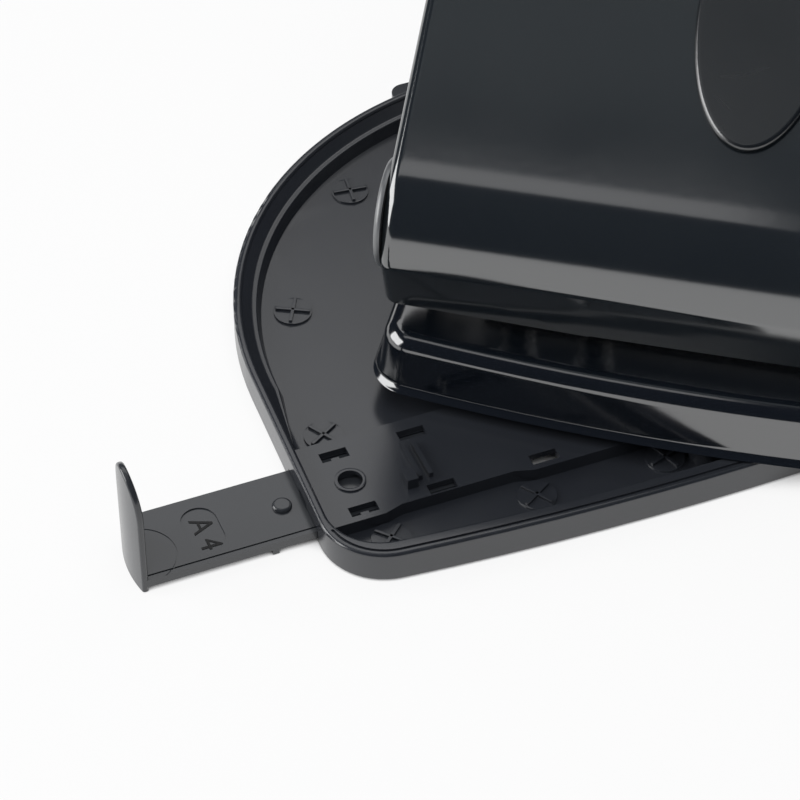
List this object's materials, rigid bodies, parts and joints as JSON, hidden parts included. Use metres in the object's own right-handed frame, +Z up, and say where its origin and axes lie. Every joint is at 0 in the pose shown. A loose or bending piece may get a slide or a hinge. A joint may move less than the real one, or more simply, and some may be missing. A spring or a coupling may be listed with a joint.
{
  "type": "four-hole punch",
  "caption": "Desk punch with a wide steel lever over sprung pins, a steel bed with a paper throat, a swing-out chip tray and a sliding paper guide.",
  "frame": {"origin": "on the table, on the axis about which the body swivels on its tray", "axes": "+X along the row of punch pins to the right, +Y from the paper side to the back, +Z up"},
  "size_m": [0.2302, 0.2281, 0.1224],
  "materials": {
    "tray_plastic": "satin black",
    "guide_plastic": "satin black",
    "black_steel": "gloss black",
    "plated_steel": "zinc plated",
    "bare_steel": "ground",
    "spring_steel": "drawn wire",
    "pad_plastic": "satin black",
    "cap_plastic": "gloss black",
    "bush_plastic": "natural",
    "rubber": "matt black"
  },
  "bodies": {
    "tray": {"tray": "tray_plastic", "rubber_feet": "rubber", "centre_foot": "rubber", "swivel_rivet": "plated_steel", "swivel_washer": "plated_steel"},
    "guide": {"paper_guide": "guide_plastic"},
    "bed": {"bed": "black_steel", "swivel_plate": "plated_steel", "die_plate": "bare_steel", "punch_frame": "plated_steel", "bracket_left": "black_steel", "bracket_right": "black_steel", "pivot_axle": "plated_steel", "frame_rivets": "plated_steel", "bracket_rivets": "plated_steel", "return_spring_1": "spring_steel", "return_spring_2": "spring_steel", "return_spring_3": "spring_steel", "return_spring_4": "spring_steel"},
    "punches": {"punch_pin_1": "bare_steel", "punch_pin_2": "bare_steel", "punch_pin_3": "bare_steel", "punch_pin_4": "bare_steel", "pin_collars": "plated_steel"},
    "handle": {"handle": "black_steel", "palm_pad": "pad_plastic", "press_bar": "plated_steel", "handle_bush_left": "bush_plastic", "handle_bush_right": "bush_plastic", "pivot_cap_left": "cap_plastic", "pivot_cap_right": "cap_plastic"}
  },
  "joints": [
    {"name": "tray_swivel", "type": "hinge", "parent": "tray", "child": "bed", "pos_m": [0, 0, 0], "axis": [0, 0, 1], "range_deg": [-25, 34.5]},
    {"name": "guide_slide", "type": "slide", "parent": "tray", "child": "guide", "axis": [0.8241, 0.5664, 0], "range_m": [0, 0.0435]},
    {"name": "handle_press", "type": "hinge", "parent": "bed", "child": "handle", "pos_m": [0, 0.0165, 0.0555], "axis": [-1, 0, 0], "range_deg": [0, 28], "stiffness_Nm_per_rad": 1.5, "springref_deg": -17.19},
    {"name": "pin_press", "type": "slide", "parent": "bed", "child": "punches", "axis": [0, 0, -1], "range_m": [0, 0.00865], "deforming": ["return_spring_1", "return_spring_2", "return_spring_3", "return_spring_4"]}
  ],
  "couplings": [
    {"joint": "pin_press", "follows": "handle_press", "m_per_rad": 0.01767}
  ]
}
